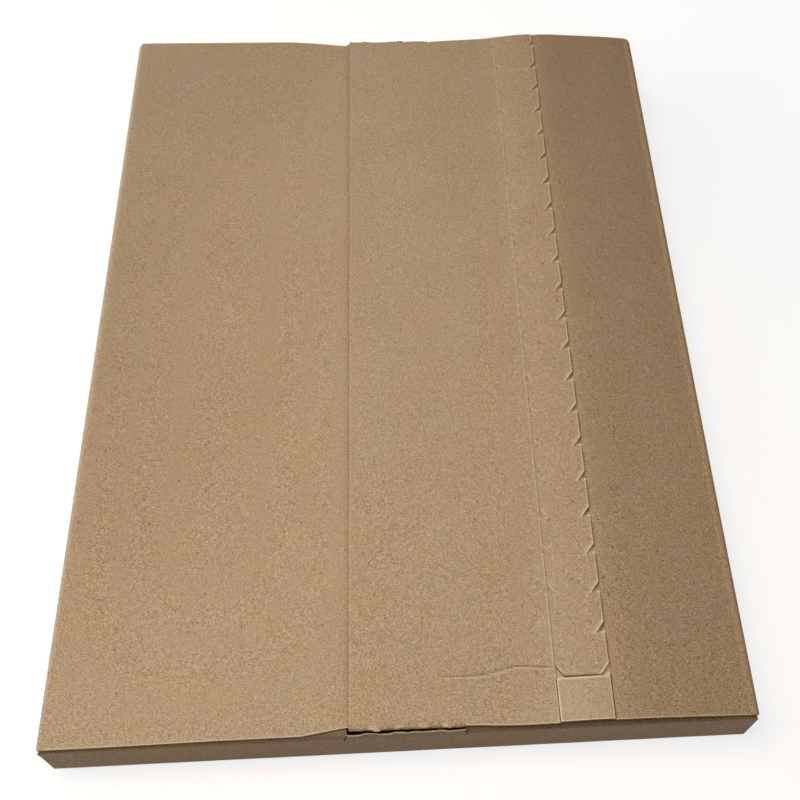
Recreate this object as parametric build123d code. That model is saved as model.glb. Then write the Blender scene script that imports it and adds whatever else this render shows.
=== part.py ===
"""Shallow folding carton, die cut and folded from one sheet of thin corrugated board.

The base carries two side walls and two end walls. Each side wall carries a lid panel: the inner one
lies flat and the outer one comes over it, up to a line left of the middle, where it is stuck down. The
end walls carry inner flaps that fold in under the lid. The outer panel is held by two tuck tabs, pushed
through slots in the top folds of the end walls, and has a tear strip between two rows of hooked zipper
cuts, with a pull tab at its near end. Under the right-hand row the free edge of the inner panel springs
up and lifts the outer panel to a low ridge.

X runs across the carton, +Y away from its near end and +Z up. The origin is on the ground, in the middle
of the base.
"""

import os
from math import radians, tan

from build123d import *

# Carton over its outer faces, in millimetres, up to the lid beside the side walls
CARTON_WIDTH = 313.0
CARTON_LENGTH = 432.0
CARTON_HEIGHT = 34.0

# Board and folds
BOARD = 1.5
FOLD_INSIDE_RADIUS = 1.2
END_FOLD_INSIDE_RADIUS = 2.0
LAYER_GAP = 0.2
CORNER_GAP = 0.3

# Lid panels: the outer one's free edge, and how far it rises towards the tear strip
LID_EDGE_X = -24.4
OUTER_LID_SETBACK = 0.5
LIFT_START_X = 45.0
STRIP_LIFT = 0.9
RIDGE_LIFT = 3.5
LIFT_BLEND_RADIUS = 60.0
RIDGE_BLEND_RADIUS = 30.0
LID_ROOT = 15.0

# Inner lid panel, tapered at its ends up to the outer panel's edge
INNER_LID_OVERLAP = 110.0
INNER_LID_CORNER_RADIUS = 8.0
TAPER_LENGTH = 21.0
TAPER_DEPTH = 3.6
HIDDEN_SETBACK = 4.8

# End flaps, hidden under the lid
END_FLAP_DEPTH = 75.0
END_FLAP_SIDE_CLEARANCE = 0.8
END_FLAP_TAPER = 6.0

# Tear strip with its zipper cuts and pull tab
STRIP_LEFT_X = 68.0
STRIP_WIDTH = 23.5
ZIPPER_PITCH = 19.05
ZIPPER_CUT_LENGTH = 14.5
HOOK_WIDTH = 4.0
HOOK_LENGTH = 5.0
CUT_WIDTH = 0.4
PULL_TAB_LENGTH = 20.4
PULL_TAB_SETBACK = 0.8
NECK_GROOVE_DEPTH = 0.7
NECK_GROOVE_WIDTH = 0.8

# Tuck tabs and their slots
TAB_WIDTH = 50.0
TAB_DEPTH = 16.0
TAB_CORNER_RADIUS = 6.0
TAB_ROOT = 12.0
TAB_FOLD_SETBACK = 1.0
TAB_FOLD_INSIDE_RADIUS = 0.4
TAB_LEAN_ANGLE = 9.0
TAB_RELIEF = 0.8
SLOT_SIDE_CLEARANCE = 1.0
SLOT_DEPTH = 5.5
SLOT_END_CUT = 2.2

# Levels and places that follow from the driving dimensions
half_width = CARTON_WIDTH / 2
half_length = CARTON_LENGTH / 2
fold_radius = BOARD + FOLD_INSIDE_RADIUS
end_fold_radius = BOARD + END_FOLD_INSIDE_RADIUS
tab_fold_radius = BOARD + TAB_FOLD_INSIDE_RADIUS
layer_step = BOARD + LAYER_GAP
flap_top = CARTON_HEIGHT - layer_step
outer_lid_top = CARTON_HEIGHT + layer_step
lid_underside = CARTON_HEIGHT - BOARD
slot_floor = flap_top - BOARD
strip_right_x = STRIP_LEFT_X + STRIP_WIDTH
ridge_top = outer_lid_top + RIDGE_LIFT
sleeve_half_length = half_length - BOARD - CORNER_GAP
outer_lid_half_length = half_length - OUTER_LID_SETBACK
strip_end_y = -half_length + PULL_TAB_LENGTH
tab_right_x = LID_EDGE_X + TAB_WIDTH
above_all = 2 * CARTON_HEIGHT


def between(start, end, x):
    """Point at a given x on the straight line from start to end."""
    share = (x - start[0]) / (end[0] - start[0])
    return (x, start[1] + share * (end[1] - start[1]))


def board_along(plane, points, radii, side, length):
    """Board bent along a path that its outer face follows, reaching length / 2 to both sides."""
    path = Wire(FilletPolyline(*points, radius=radii).edges())
    outline = path.offset_2d(distance=BOARD, side=side, kind=Kind.ARC, closed=True)
    return extrude(plane * Face(outline), amount=length / 2, both=True)


def upright(plan, bottom, top):
    """Solid over a plan face, between two heights."""
    return Pos(0, 0, bottom) * extrude(plan, amount=top - bottom, dir=(0, 0, 1))


def block(x_range, y_range, z_range):
    """Box between the given pairs of limits."""
    spans = (x_range, y_range, z_range)
    size = [high - low for low, high in spans]
    middle = [(high + low) / 2 for low, high in spans]
    return Pos(*middle) * Box(*size)


def at_both_ends(near_piece):
    """A near-end piece and its mirror image at the far end."""
    return [near_piece, mirror(near_piece, about=Plane.XZ)]


def outer_lid_points():
    """Outer lid's top face in section, from the right-hand fold over the ridge to its free edge."""
    return [
        (half_width, CARTON_HEIGHT),
        (strip_right_x, ridge_top),
        (STRIP_LEFT_X, outer_lid_top + STRIP_LIFT),
        (LIFT_START_X, outer_lid_top),
        (LID_EDGE_X, outer_lid_top),
    ]


def make_sleeve():
    """Base, side walls and the roots of both lid panels, bent as one strip round the carton."""
    fold_corner, ridge = outer_lid_points()[:2]
    points = [
        (-half_width + LID_ROOT, CARTON_HEIGHT),
        (-half_width, CARTON_HEIGHT),
        (-half_width, 0),
        (half_width, 0),
        fold_corner,
        between(fold_corner, ridge, half_width - LID_ROOT),
    ]
    sleeve = board_along(Plane.XZ, points, [fold_radius] * 4, Side.LEFT, CARTON_LENGTH)
    wide = (-CARTON_WIDTH, CARTON_WIDTH)
    walls_end = block(wide, (-CARTON_LENGTH, -sleeve_half_length), (-BOARD, lid_underside))
    right_root_end = block((0, CARTON_WIDTH), (-CARTON_LENGTH, -outer_lid_half_length), (-BOARD, above_all))
    return sleeve - at_both_ends(walls_end) - at_both_ends(right_root_end)


def make_inner_lid():
    """Inner lid panel, from its root to its free edge under the outer panel's ridge."""
    ridge, strip_left, lift_start = [(x, z - layer_step) for x, z in outer_lid_points()[1:4]]
    free_edge = between(strip_left, ridge, LID_EDGE_X + INNER_LID_OVERLAP)
    points = [free_edge, strip_left, lift_start, (-half_width + LID_ROOT, CARTON_HEIGHT)]
    panel = board_along(Plane.XZ, points, [LIFT_BLEND_RADIUS] * 2, Side.LEFT, CARTON_LENGTH)
    taper_start = LID_EDGE_X - TAPER_LENGTH
    taper_end = taper_start + TAPER_LENGTH * HIDDEN_SETBACK / TAPER_DEPTH
    hidden_half_length = half_length - HIDDEN_SETBACK
    outline = [
        (-half_width, -half_length),
        (taper_start, -half_length),
        (taper_end, -hidden_half_length),
        (free_edge[0] + BOARD, -hidden_half_length),
    ]
    plan = make_face(Polyline(*outline, *[(x, -y) for x, y in reversed(outline)], close=True))
    corners = plan.vertices().filter_by_position(Axis.X, free_edge[0], CARTON_WIDTH)
    plan = fillet(corners, radius=INNER_LID_CORNER_RADIUS)
    return panel & upright(plan, 0, above_all)


def zipper_cut(line_x, inward, tip_y):
    """Plan of one zipper cut: straight along the line, then hooked into the strip towards the near end."""
    corner_y = tip_y + HOOK_LENGTH
    route = Polyline(
        (line_x, corner_y + ZIPPER_CUT_LENGTH),
        (line_x, corner_y),
        (line_x + inward * HOOK_WIDTH, tip_y),
    )
    return trace(route, line_width=CUT_WIDTH)


def make_zipper():
    """All the zipper cuts of the two lines, as upright cutters."""
    count = int((CARTON_LENGTH - PULL_TAB_LENGTH) / ZIPPER_PITCH) + 1
    tips = [strip_end_y + ZIPPER_PITCH * number for number in range(count)]
    lines = ((STRIP_LEFT_X, 1), (strip_right_x, -1))
    plans = [zipper_cut(x, inward, tip) for tip in tips for x, inward in lines]
    return [upright(plan, lid_underside, above_all) for plan in plans]


def make_pull_tab_cuts():
    """Cutters that free the pull tab at its front, sides and shoulders, up to the neck."""
    half_cut = CUT_WIDTH / 2
    heights = (lid_underside, above_all)
    side_y = (-half_length, strip_end_y)
    shoulder_y = (strip_end_y - CUT_WIDTH, strip_end_y)
    front_y = (-half_length, -outer_lid_half_length + PULL_TAB_SETBACK)
    cutters = [block((STRIP_LEFT_X, strip_right_x), front_y, heights)]
    for line_x, inward in ((STRIP_LEFT_X, 1), (strip_right_x, -1)):
        cutters.append(block((line_x - half_cut, line_x + half_cut), side_y, heights))
        shoulder_x = sorted((line_x, line_x + inward * HOOK_WIDTH))
        cutters.append(block(shoulder_x, shoulder_y, heights))
    return cutters


def make_neck_groove():
    """Crushed line across the strip, where the pull tab is bent up."""
    right, left = outer_lid_points()[1:3]
    profile = Polyline(
        (left[0], left[1] - NECK_GROOVE_DEPTH),
        (right[0], right[1] - NECK_GROOVE_DEPTH),
        (right[0], above_all),
        (left[0], above_all),
        close=True,
    )
    groove = extrude(Plane.XZ * make_face(profile), amount=NECK_GROOVE_WIDTH / 2, both=True)
    return Pos(0, strip_end_y - NECK_GROOVE_WIDTH / 2, 0) * groove


def make_outer_lid():
    """Outer lid panel with its tear strip, without the tuck tabs."""
    fold_corner, ridge, strip_left, lift_start, lid_edge = outer_lid_points()
    root = between(fold_corner, ridge, half_width - LID_ROOT)
    points = [root, ridge, strip_left, lift_start, lid_edge]
    radii = [RIDGE_BLEND_RADIUS, LIFT_BLEND_RADIUS, LIFT_BLEND_RADIUS]
    panel = board_along(Plane.XZ, points, radii, Side.LEFT, 2 * outer_lid_half_length)
    tab_room = block(
        (LID_EDGE_X - BOARD, tab_right_x + TAB_RELIEF),
        (-half_length, -half_length + TAB_ROOT),
        (0, above_all),
    )
    return panel - at_both_ends(tab_room) - make_zipper() - make_pull_tab_cuts() - make_neck_groove()


def make_tuck_tab():
    """Near tuck tab: the end of the outer lid, bent down and leaning in behind the end wall."""
    fold_y = -half_length + TAB_FOLD_SETBACK
    points = [
        (-half_length + TAB_ROOT, outer_lid_top),
        (fold_y, outer_lid_top),
        (fold_y + TAB_DEPTH * tan(radians(TAB_LEAN_ANGLE)), outer_lid_top - TAB_DEPTH),
    ]
    tab = board_along(Plane.YZ, points, [tab_fold_radius], Side.LEFT, TAB_WIDTH)
    tab = Pos(LID_EDGE_X + TAB_WIDTH / 2, 0, 0) * tab
    tip = tab.faces().sort_by(Axis.Z)[0]
    corners = tip.edges().filter_by(Axis.X, reverse=True)
    return fillet(corners, radius=TAB_CORNER_RADIUS)


def make_end():
    """Near end wall with its folds and inner flap, and the slot that takes the tuck tab."""
    wall_inner_y = -half_length + BOARD
    points = [
        (wall_inner_y + 2 * fold_radius, 0),
        (-half_length, 0),
        (-half_length, flap_top),
        (-half_length + END_FLAP_DEPTH, flap_top),
    ]
    end = board_along(Plane.YZ, points, [fold_radius, end_fold_radius], Side.RIGHT, CARTON_WIDTH)
    envelope = Plane.XZ * Pos(0, half_width) * RectangleRounded(CARTON_WIDTH, CARTON_WIDTH, fold_radius)
    end = end & extrude(envelope, amount=half_length + BOARD, both=True)
    flap_half_width = half_width - fold_radius - END_FLAP_SIDE_CLEARANCE
    flap_plan = [
        (flap_half_width, wall_inner_y),
        (flap_half_width, -half_length + end_fold_radius),
        (flap_half_width - END_FLAP_TAPER, -half_length + END_FLAP_DEPTH),
    ]
    outside = [(CARTON_WIDTH, -half_length + END_FLAP_DEPTH), (CARTON_WIDTH, wall_inner_y)]
    trim = upright(make_face(Polyline(*flap_plan, *outside, close=True)), -BOARD, above_all)
    slot_x = (LID_EDGE_X - SLOT_SIDE_CLEARANCE, tab_right_x + SLOT_SIDE_CLEARANCE)
    slot = block(slot_x, (-half_length - BOARD, -half_length + SLOT_DEPTH), (slot_floor, above_all))
    return end - trim - mirror(trim, about=Plane.YZ) - slot - slot_end_cuts(slot_x)


def slot_end_cuts(slot_x):
    """Short slanting cuts that end the slot in the face of the near end wall."""
    cuts = []
    for x, outward in zip(slot_x, (-1, 1)):
        route = Polyline(
            (x - outward * CUT_WIDTH, slot_floor + CUT_WIDTH),
            (x + outward * SLOT_END_CUT, slot_floor - SLOT_END_CUT),
        )
        plan = Plane.XZ * trace(route, line_width=CUT_WIDTH)
        cutter = extrude(plan, amount=2 * BOARD, both=True)
        cuts.append(Pos(0, -half_length, 0) * cutter)
    return cuts


def make_carton():
    """The whole folded sheet as one solid."""
    pieces = [make_inner_lid(), make_outer_lid()]
    pieces += at_both_ends(make_tuck_tab()) + at_both_ends(make_end())
    return make_sleeve() + pieces


carton = make_carton()
os.makedirs("parts", exist_ok=True)
export_step(carton, "parts/folded_carton.step")
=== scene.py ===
"""Looks of the shallow folding carton, laid out as an add-on and run as a script.

Every piece is a surface worked out with numpy in millimetres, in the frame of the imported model: X across
the carton, +Y away from its near end, +Z up. A piece of board is an outer and an inner grid of points, with
a rim round its border and round each hole, where the liners stand proud of the recessed fluted layer.
"""

import math

import bpy
import numpy as np
from mathutils import Matrix, Vector


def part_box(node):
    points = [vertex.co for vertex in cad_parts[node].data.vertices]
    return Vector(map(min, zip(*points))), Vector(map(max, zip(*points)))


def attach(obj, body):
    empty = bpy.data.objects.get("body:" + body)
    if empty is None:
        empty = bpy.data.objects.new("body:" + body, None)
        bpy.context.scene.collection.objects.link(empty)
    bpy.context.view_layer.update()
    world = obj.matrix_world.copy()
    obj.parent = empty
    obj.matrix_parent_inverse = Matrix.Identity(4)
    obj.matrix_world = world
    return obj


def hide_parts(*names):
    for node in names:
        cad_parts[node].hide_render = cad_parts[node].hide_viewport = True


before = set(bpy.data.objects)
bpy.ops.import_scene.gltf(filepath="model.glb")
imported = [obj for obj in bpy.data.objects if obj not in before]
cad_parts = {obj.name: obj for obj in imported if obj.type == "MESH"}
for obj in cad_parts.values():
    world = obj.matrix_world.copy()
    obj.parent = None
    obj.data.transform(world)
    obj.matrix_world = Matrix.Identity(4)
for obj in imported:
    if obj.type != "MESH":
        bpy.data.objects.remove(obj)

bl_info = {
    "name": "Shallow folding carton",
    "version": (1, 0, 0),
    "blender": (4, 5, 0),
    "location": "3D View > Sidebar > Carton",
    "description": "Builds a closed carton of thin corrugated board with a tear strip",
    "category": "Add Mesh",
}

NODE = "folded_carton"
BODY = "root"
MM = 0.001

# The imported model's box, and places on the sheet, in millimetres. They are its source's own, but for the
# strip's left line and the tuck tabs' setback, fold radius and lean, which follow the photo more closely
LOW, HIGH = [np.array(corner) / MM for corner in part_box(NODE)]
HALF_WIDTH = HIGH[0]
HALF_LENGTH = HIGH[1]
LENGTH = 2 * HALF_LENGTH
LID_TOP = 34.0
BOARD = 1.5
LAYER_STEP = 1.7
OUTER_LID_TOP = LID_TOP + LAYER_STEP
FLAP_TOP = LID_TOP - LAYER_STEP
FOLD_RADIUS = 2.7
END_FOLD_RADIUS = 3.5
FOOT_RADIUS = 3.5
RIDGE_LIFT = 3.5
FREE_EDGE = -24.4
INNER_FREE_EDGE = 85.6
WALL_END_SETBACK = 1.8
BASE_END_SETBACK = 2.7
STRIP_LEFT = 67.3
STRIP_RIGHT = 91.5
HOOK_WIDTH = 4.0
HOOK_LENGTH = 5.0
PITCH = 19.05
CUT_LENGTH = 14.5
NICK = CUT_LENGTH - PITCH
STRIP_END = 20.4
FIRST_CORNER = STRIP_END + HOOK_LENGTH
HOOK_SLOPE = HOOK_LENGTH / HOOK_WIDTH
FAR_CREASE = 400.6
TAB_LEFT = FREE_EDGE
TAB_RIGHT = 25.6
TAB_ROOT = 4.5
TAB_SETBACK = 1.4
TAB_FOLD_RADIUS = 1.0
TAB_DEPTH = 16.0
TAB_LEAN = math.radians(14)
TAB_CORNER = 6.0
FLAKE_X = -12.1
SLOT_LEFT = -25.4
SLOT_RIGHT = 26.6
SLOT_FLOOR = 30.8
SLOT_DEPTH = 5.5
TOP_FOLD_FOOT = 28.8
FLAP_DEPTH = 75.0
FOLD_START = 152.0

# The board's section, in millimetres, and the tones of its cut edges, from -1 for darkest to 1 for palest;
# the open recess's tone is painted shade
LINER = 0.28
FLUTE_REACH = 2.4
EDGE_TONE = 0.4
RECESS_SHADE_TONE = -0.85
FLUTE_TONE = -0.25

SKIN = "kraft_board_skin"
SHARP_ANGLE = math.radians(38)
FOOT_POINTS = 8
FLOOR_POINTS = 64


def smooth(t):
    """0 up to t = 0, 1 from t = 1 on, and 3 t squared less 2 t cubed between them."""
    t = np.clip(t, 0, 1)
    return t * t * (3 - 2 * t)


def bell(distance, width):
    """Gaussian hump: e to the power of minus (distance over width) squared."""
    return np.exp(-np.square(distance / width))


def swell(a, b, wavelength, seed):
    """Smooth random field: seven sine waves of seeded directions, lengths and phases, added and scaled."""
    rng = np.random.default_rng(seed)
    total = 0
    for angle, stretch, phase in rng.uniform((0, 0.6, 0), (math.pi, 1.6, 2 * math.pi), (7, 3)):
        along = a * math.cos(angle) + b * math.sin(angle)
        total = total + np.sin(2 * math.pi * along / (wavelength * stretch) + phase)
    return total / 3


def ragged(along, seed, step=0.9):
    """Torn line: straight runs between seeded random heights in -1..1, a step apart."""
    heights = np.random.default_rng(seed).uniform(-1, 1, 1024)
    return np.interp(np.mod(np.asarray(along) / step, 1023), np.arange(1024), heights)


def to_segment(x, y, start, end):
    """Distance of points of a plan from the straight line between two points."""
    run, rise = end[0] - start[0], end[1] - start[1]
    share = np.clip(((x - start[0]) * run + (y - start[1]) * rise) / (run * run + rise * rise), 0, 1)
    return np.hypot(x - start[0] - share * run, y - start[1] - share * rise)


def unit(vectors):
    """Vectors at length one."""
    return vectors / np.maximum(np.linalg.norm(vectors, axis=-1, keepdims=True), 1e-9)


def lengths_along(path):
    """Length of a path from its start up to each of its points."""
    return np.concatenate([[0], np.cumsum(np.linalg.norm(np.diff(path, axis=0), axis=1))])


def grid_lines(*groups):
    """Places of grid lines: all the groups sorted, without those closer than 0.07 mm to the one before."""
    places = np.sort(np.concatenate([np.ravel(group) for group in groups]))
    kept = [places[0]]
    for place in places[1:]:
        if place - kept[-1] >= 0.07:
            kept.append(place)
    return np.array(kept)


def corner_arc(before, corner, after, radius, count):
    """Arc of a given radius that rounds a corner: its points at equal turns between the two tangents."""
    before, corner, after = (np.array(point, float) for point in (before, corner, after))
    back, ahead = unit(before - corner), unit(after - corner)
    half = math.acos(back @ ahead) / 2
    middle = unit(back + ahead)
    centre = corner + middle * radius / math.sin(half)
    turns = np.linspace(-1, 1, count)[:, None] * (math.pi / 2 - half)
    return centre + radius * (np.sin(turns) * unit(ahead - back) - np.cos(turns) * middle)


def path_normals(path, turn):
    """Unit normals of a path in a plane: its tangent by differences, turned a quarter left, times turn."""
    tangent = unit(np.gradient(path, axis=0))
    return turn * np.stack([-tangent[:, 1], tangent[:, 0]], axis=1)


def border_loop(rows, columns):
    """Row and column of each border point of a block of a grid, in order round it."""
    (r0, r1), (c0, c1) = rows, columns
    down, across = np.arange(r0, r1), np.arange(c0, c1)
    loop_rows = [r0 + 0 * across, down, r1 + 0 * across, down[::-1] + 1]
    loop_columns = [across, c1 + 0 * down, across[::-1] + 1, c0 + 0 * down]
    return np.concatenate(loop_rows), np.concatenate(loop_columns)


def rim_steps(outer, inner, rows, columns, inwards, depths):
    """How far each border point's recess goes into the board: along the grid's lines, both at a corner.

    The part of a step that runs through the board's thickness is taken out, so a recess stays between the
    liners.
    """
    loop = border_loop(rows, columns)
    last = np.array(outer.shape[:2]) - 1
    through = unit(inner[loop] - outer[loop])
    total = np.zeros((len(through), 3))
    for number, (end, depth) in enumerate(zip((*rows, *columns), depths)):
        axis, far = divmod(number, 2)
        beside = list(loop)
        beside[axis] = np.clip(loop[axis] + (1 if inwards != far else -1), 0, last[axis])
        towards = outer[tuple(beside)] - outer[loop]
        towards = unit(towards - through * (towards * through).sum(axis=1, keepdims=True))
        total += np.where((loop[axis] == end)[:, None], towards * depth, 0)
    return total


class Board:
    """A piece of board in the making: points, their tone and place across the flutes, and faces."""

    def __init__(self):
        self.points, self.faces, self.count = [], [], 0
        self.attributes = {"tone": [], "flute": []}

    def add_points(self, points, *values):
        """Appends points with their tone and flute, and returns their indices in the shape of their grid."""
        shape = points.shape[:-1]
        self.points.append(points.reshape(-1, 3))
        for store, value in zip(self.attributes.values(), values):
            store.append(np.broadcast_to(value, shape).ravel())
        indices = self.count + np.arange(np.prod(shape)).reshape(shape)
        self.count += indices.size
        return indices

    def add_quads(self, corners, flip):
        """Appends four-sided faces from four arrays of indices."""
        quads = np.stack([np.ravel(part) for part in corners], axis=1)
        self.faces.append(quads[:, ::-1] if flip else quads)

    def add_sheet(self, outer, inner, tone=0.0, flute=0.0, holes=(), depths=(0.6, 0.6, 0.6, 0.6)):
        """Board between an outer and an inner grid of points, with a rim round its border and each hole.

        A rim steps down from the outer grid over the liner's thickness, into the recess, across it and back
        out over the other liner. The depths of the recess are those at the first and last row and at the
        first and last column. Where one is 0 the edge is pressed shut and pale. Without depths a rim is one
        plain strip.
        """
        rows, columns = outer.shape[:2]
        keep = np.ones((rows - 1, columns - 1), bool)
        for (r0, r1), (c0, c1) in holes:
            keep[r0:r1, c0:c1] = False
        top = self.add_points(outer, tone, flute)
        bottom = self.add_points(inner, 0.0, flute)
        row_run = outer[1, 0] - outer[0, 0]
        column_run = outer[0, 1] - outer[0, 0]
        flip = np.cross(row_run, column_run) @ (outer[0, 0] - inner[0, 0]) < 0
        for grid, turned in ((top, flip), (bottom, not flip)):
            corners = (grid[:-1, :-1], grid[1:, :-1], grid[1:, 1:], grid[:-1, 1:])
            self.add_quads([part[keep] for part in corners], turned)
        for number, block in enumerate([((0, rows - 1), (0, columns - 1)), *holes]):
            at = border_loop(*block)
            loops = [top[at]]
            if depths:
                over, under = outer[at], inner[at]
                thickness = np.linalg.norm(under - over, axis=1, keepdims=True)
                skin = unit(under - over) * np.minimum(LINER, 0.3 * thickness)
                into = rim_steps(outer, inner, *block, number == 0, depths)
                loop_flute = np.broadcast_to(flute, (rows, columns))[at]
                shut = np.linalg.norm(into, axis=1) < 0.05
                # An open recess is painted dark as shade; a shut edge is pale
                inside_tone = np.where(shut, EDGE_TONE, RECESS_SHADE_TONE)
                rings = (over + skin, over + skin + into, under - skin + into, under - skin)
                tones = (EDGE_TONE, inside_tone, inside_tone, EDGE_TONE)
                loops += [self.add_points(*ring, loop_flute) for ring in zip(rings, tones)]
            loops.append(bottom[at])
            for first, second in zip(loops, loops[1:]):
                corners = (first, second, np.roll(second, -1), np.roll(first, -1))
                self.add_quads(corners, flip != (number == 0))

    def add_flutes(self, edge, normal, inward):
        """Fluted layer in the recess of a cut edge: a thin ribbon whose line is a sine wave along the edge.

        Its height over the board's middle is the wave's reach times the sine of a full turn per flute.
        """
        pitch = settings().flute_pitch / MM
        lengths = lengths_along(edge)
        places = np.arange(0, lengths[-1], pitch / 12)
        along, out, into = [
            np.stack([np.interp(places, lengths, part[:, axis]) for axis in range(3)], axis=1)
            for part in np.broadcast_arrays(edge, normal, inward)
        ]
        wave = 0.39 * np.sin(2 * math.pi * places / pitch)
        centre = along - out * (BOARD / 2) + out * wave[:, None]
        across = unit(np.cross(np.gradient(centre, axis=0), into))
        line = np.stack([centre + into * 0.15, centre + into * FLUTE_REACH], axis=1)
        half = 0.08 * across[:, None, :]
        self.add_sheet(line + half, line - half, tone=FLUTE_TONE, depths=None)

    def finish(self, name):
        """Turns what was added into a mesh object in metres, with sharp edges where it bends hard."""
        points = np.clip(np.concatenate(self.points), LOW, HIGH) * MM
        faces = np.concatenate(self.faces)
        mesh = bpy.data.meshes.new(name)
        mesh.vertices.add(len(points))
        mesh.vertices.foreach_set("co", points.ravel())
        mesh.loops.add(faces.size)
        mesh.loops.foreach_set("vertex_index", faces.ravel())
        mesh.polygons.add(len(faces))
        mesh.polygons.foreach_set("loop_start", np.arange(0, faces.size, 4))
        for label, values in self.attributes.items():
            attribute = mesh.attributes.new(label, "FLOAT", "POINT")
            attribute.data.foreach_set("value", np.concatenate(values).astype(np.float32))
        mesh.update(calc_edges=True)
        if mesh.validate():
            raise RuntimeError(f"{name} has faces that Blender had to repair")
        mesh.shade_smooth()
        mesh.set_sharp_from_angle(angle=SHARP_ANGLE)
        mesh.materials.append(board_material())
        piece = bpy.data.objects.new(name, mesh)
        bpy.context.scene.collection.objects.link(piece)
        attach(piece, BODY)
        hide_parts(NODE)
        return piece


def settings():
    """Sizes and colours that the sidebar shows."""
    return bpy.context.scene.carton


def lid_heights(near_points, far_points, x, y):
    """Height of a lid over its plan: a near and a far line, rounded by a 24 mm mean and blended along Y."""
    fine = np.arange(-200.0, 260.0, 0.5)
    window = np.hanning(49)
    near, far = [
        np.interp(x, fine, np.convolve(np.interp(fine, *np.transpose(points)), window / window.sum(), "same"))
        for points in (near_points, far_points)
    ]
    return near + (far - near) * np.clip((y + HALF_LENGTH) / LENGTH, 0, 1)


def outer_lid_height(x, y):
    """Height of the outer lid's top face, flat on the left and raised to the ridge by the strip."""
    lift = settings().ridge_lift / MM - RIDGE_LIFT
    near = [(-200, 35.7), (40, 35.7), (66, 36.3), (82, 37.4), (100, 37.5), (120, 36.7), (138, 35.4)]
    near += [(156.5, 34)]
    far = [(-200, 35.7), (50, 35.75), (62, 36.15), (73, 37.5), (83, 38.95), (103, 38.9), (114, 38.1)]
    far += [(135, 36.9), (148, 35.7), (156.5, 34.7)]
    near, far = [[(at, z + lift * bell(at - 90, 30)) for at, z in points] for points in (near, far)]
    return lid_heights(near, far, x, y)


def lid_warp(x, y):
    """Slow bulges that both lids share, none at the side folds, and the sag of the left panel.

    The sag is half a sine wave across the panel, and eases out towards the ends, where flaps carry the lid.
    """
    bulges = (0.06 + 0.03 * swell(x, y, 150, 4)) * smooth((HALF_WIDTH - 4.5 - np.abs(x)) / 25)
    across = np.sin(math.pi * np.clip((x + FOLD_START) / (FOLD_START + FREE_EDGE), 0, 1))
    return bulges - settings().panel_sag / MM * across * smooth((HALF_LENGTH - np.abs(y)) / 90)


def sleeve_path(lid_x, height, side):
    """Section of a lid and what it hangs on: along the lid, round the fold, down the wall and to the middle.

    Gives the points (x, z) in order; side is 1 for the right-hand wall and -1 for the left-hand one.
    """
    lid = np.stack([lid_x, height(lid_x)], axis=1)
    wall_x = side * HALF_WIDTH
    before, inner = [(side * x, float(height(np.array([side * x]))[0])) for x in (146.0, 150.0)]
    slope = (inner[1] - before[1]) / (inner[0] - before[0])
    corner = (wall_x, inner[1] + slope * (wall_x - inner[0]))
    upper = corner_arc(before, corner, (wall_x, 10), FOLD_RADIUS, 10)
    wall = [(wall_x, z) for z in (28, 24, 20, 16, 12, 8, 5)]
    lower = corner_arc((wall_x, 10), (wall_x, 0), (0, 0), FOLD_RADIUS, FOOT_POINTS)
    base = [(side * x, 0) for x in (150, 130, 100, 70, 40, 15, 0)]
    return np.concatenate([lid, upper, wall, lower, base])


def sleeve_grids(lid_x, height, side, rows, setbacks, corners, bow, relief):
    """Outer and inner grids of a lid with its wall and half the base.

    The section is worked out at both ends and blended along Y, and drawn in by a parabola of the bow's share
    of its width. Each column runs between the ends that its setbacks and the rounded corners leave;
    relief(x, y) moves the outer face along its normal, and the last grid is Y from the near end.
    """
    near = sleeve_path(lid_x, lambda x: height(x, -HALF_LENGTH), side)
    far = sleeve_path(lid_x, lambda x: height(x, HALF_LENGTH), side)
    count = len(lid_x)
    near_setback, far_setback = [
        column_setbacks(values, near, count, radius) for values, radius in zip(setbacks, corners)
    ]
    from_near = rows[:, None] + near_setback * (1 - rows[:, None] / 20).clip(0)
    from_near = from_near - far_setback * (1 - (LENGTH - rows[:, None]) / 20).clip(0)
    if side > 0:
        from_near = from_near - hook_shear(near[:, 0], rows, count)
    share = from_near / LENGTH
    section = near + (far - near) * share[..., None]
    normal = path_normals(near, side) * (1 - share[..., None]) + path_normals(far, side) * share[..., None]
    normal = unit(np.stack([normal[..., 0], np.zeros_like(share), normal[..., 1]], axis=-1))
    y = from_near - HALF_LENGTH
    drawn_in = 1 - bow * (1 - np.square(y / HALF_LENGTH))
    base = np.stack([section[..., 0] * drawn_in, y, section[..., 1]], axis=-1)
    warp = lid_warp(section[..., 0], y) * (np.arange(len(near)) < count)
    outer = base + normal * warp[..., None]
    inner = outer - normal * BOARD
    outer[:, :count] += (normal * relief(section[..., 0], from_near)[..., None])[:, :count]
    return outer, inner, from_near


def column_setbacks(lid_setbacks, path, count, radius):
    """Setback of each column's end: the lid's, then the plan's rounded corner, the wall's and the base's."""
    x, z = path[:, 0], path[:, 1]
    walls = WALL_END_SETBACK + (BASE_END_SETBACK - WALL_END_SETBACK) * smooth((FOLD_RADIUS - z) / FOLD_RADIUS)
    past = (np.abs(x) - HALF_WIDTH + radius).clip(0)
    corner = radius - np.sqrt((radius**2 - past**2).clip(0))
    last = lid_setbacks[-1]
    folds = np.maximum(last + (WALL_END_SETBACK - last) * smooth((LID_TOP - 0.6 - z) / 2.2), corner)
    rest = walls + (folds - walls) * smooth((z - 23) / 7)
    return np.concatenate([lid_setbacks, rest[count:]])


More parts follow.
